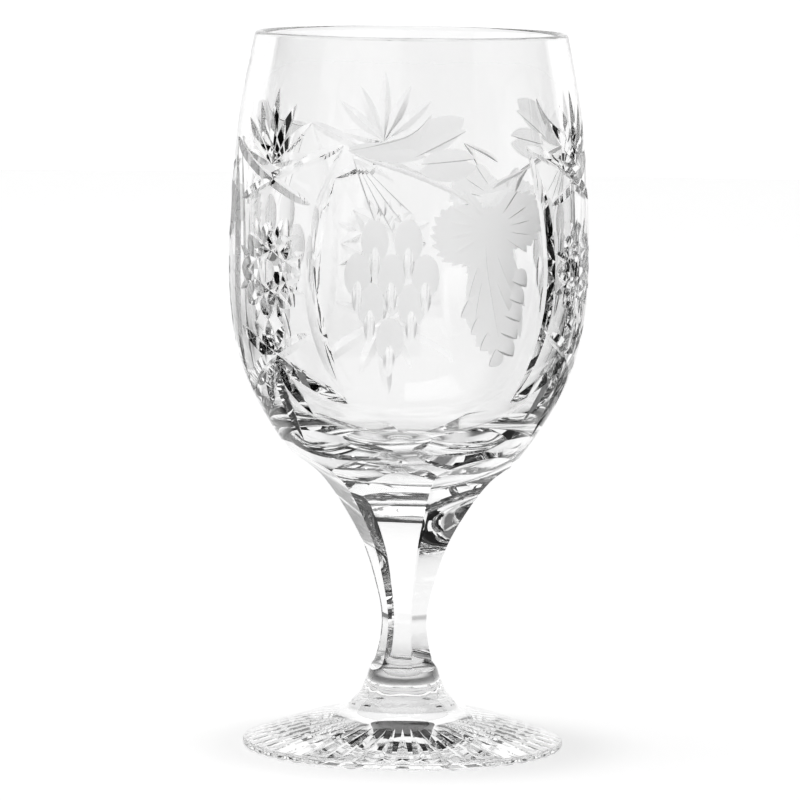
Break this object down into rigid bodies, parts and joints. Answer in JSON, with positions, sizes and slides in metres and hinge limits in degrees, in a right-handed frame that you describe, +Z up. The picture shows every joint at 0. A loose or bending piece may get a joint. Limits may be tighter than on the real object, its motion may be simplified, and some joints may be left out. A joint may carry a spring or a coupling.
{
  "type": "cut-glass water goblet",
  "caption": "Footed drinking glass with a barrel-shaped cut bowl, a six-sided stem and a rayed round foot, for serving water.",
  "frame": {"origin": "middle of the foot's underside, on the surface that the glass stands on", "axes": "+Z up along the axis of the glass, -Y towards the side shown in the picture"},
  "size_m": [0.081, 0.081, 0.1617],
  "materials": {
    "crystal": "clear colourless crystal, wheel cut and polished, with matt engraving"
  },
  "bodies": {
    "root": {"bowl": "crystal", "stem": "crystal", "foot": "crystal"}
  },
  "joints": []
}
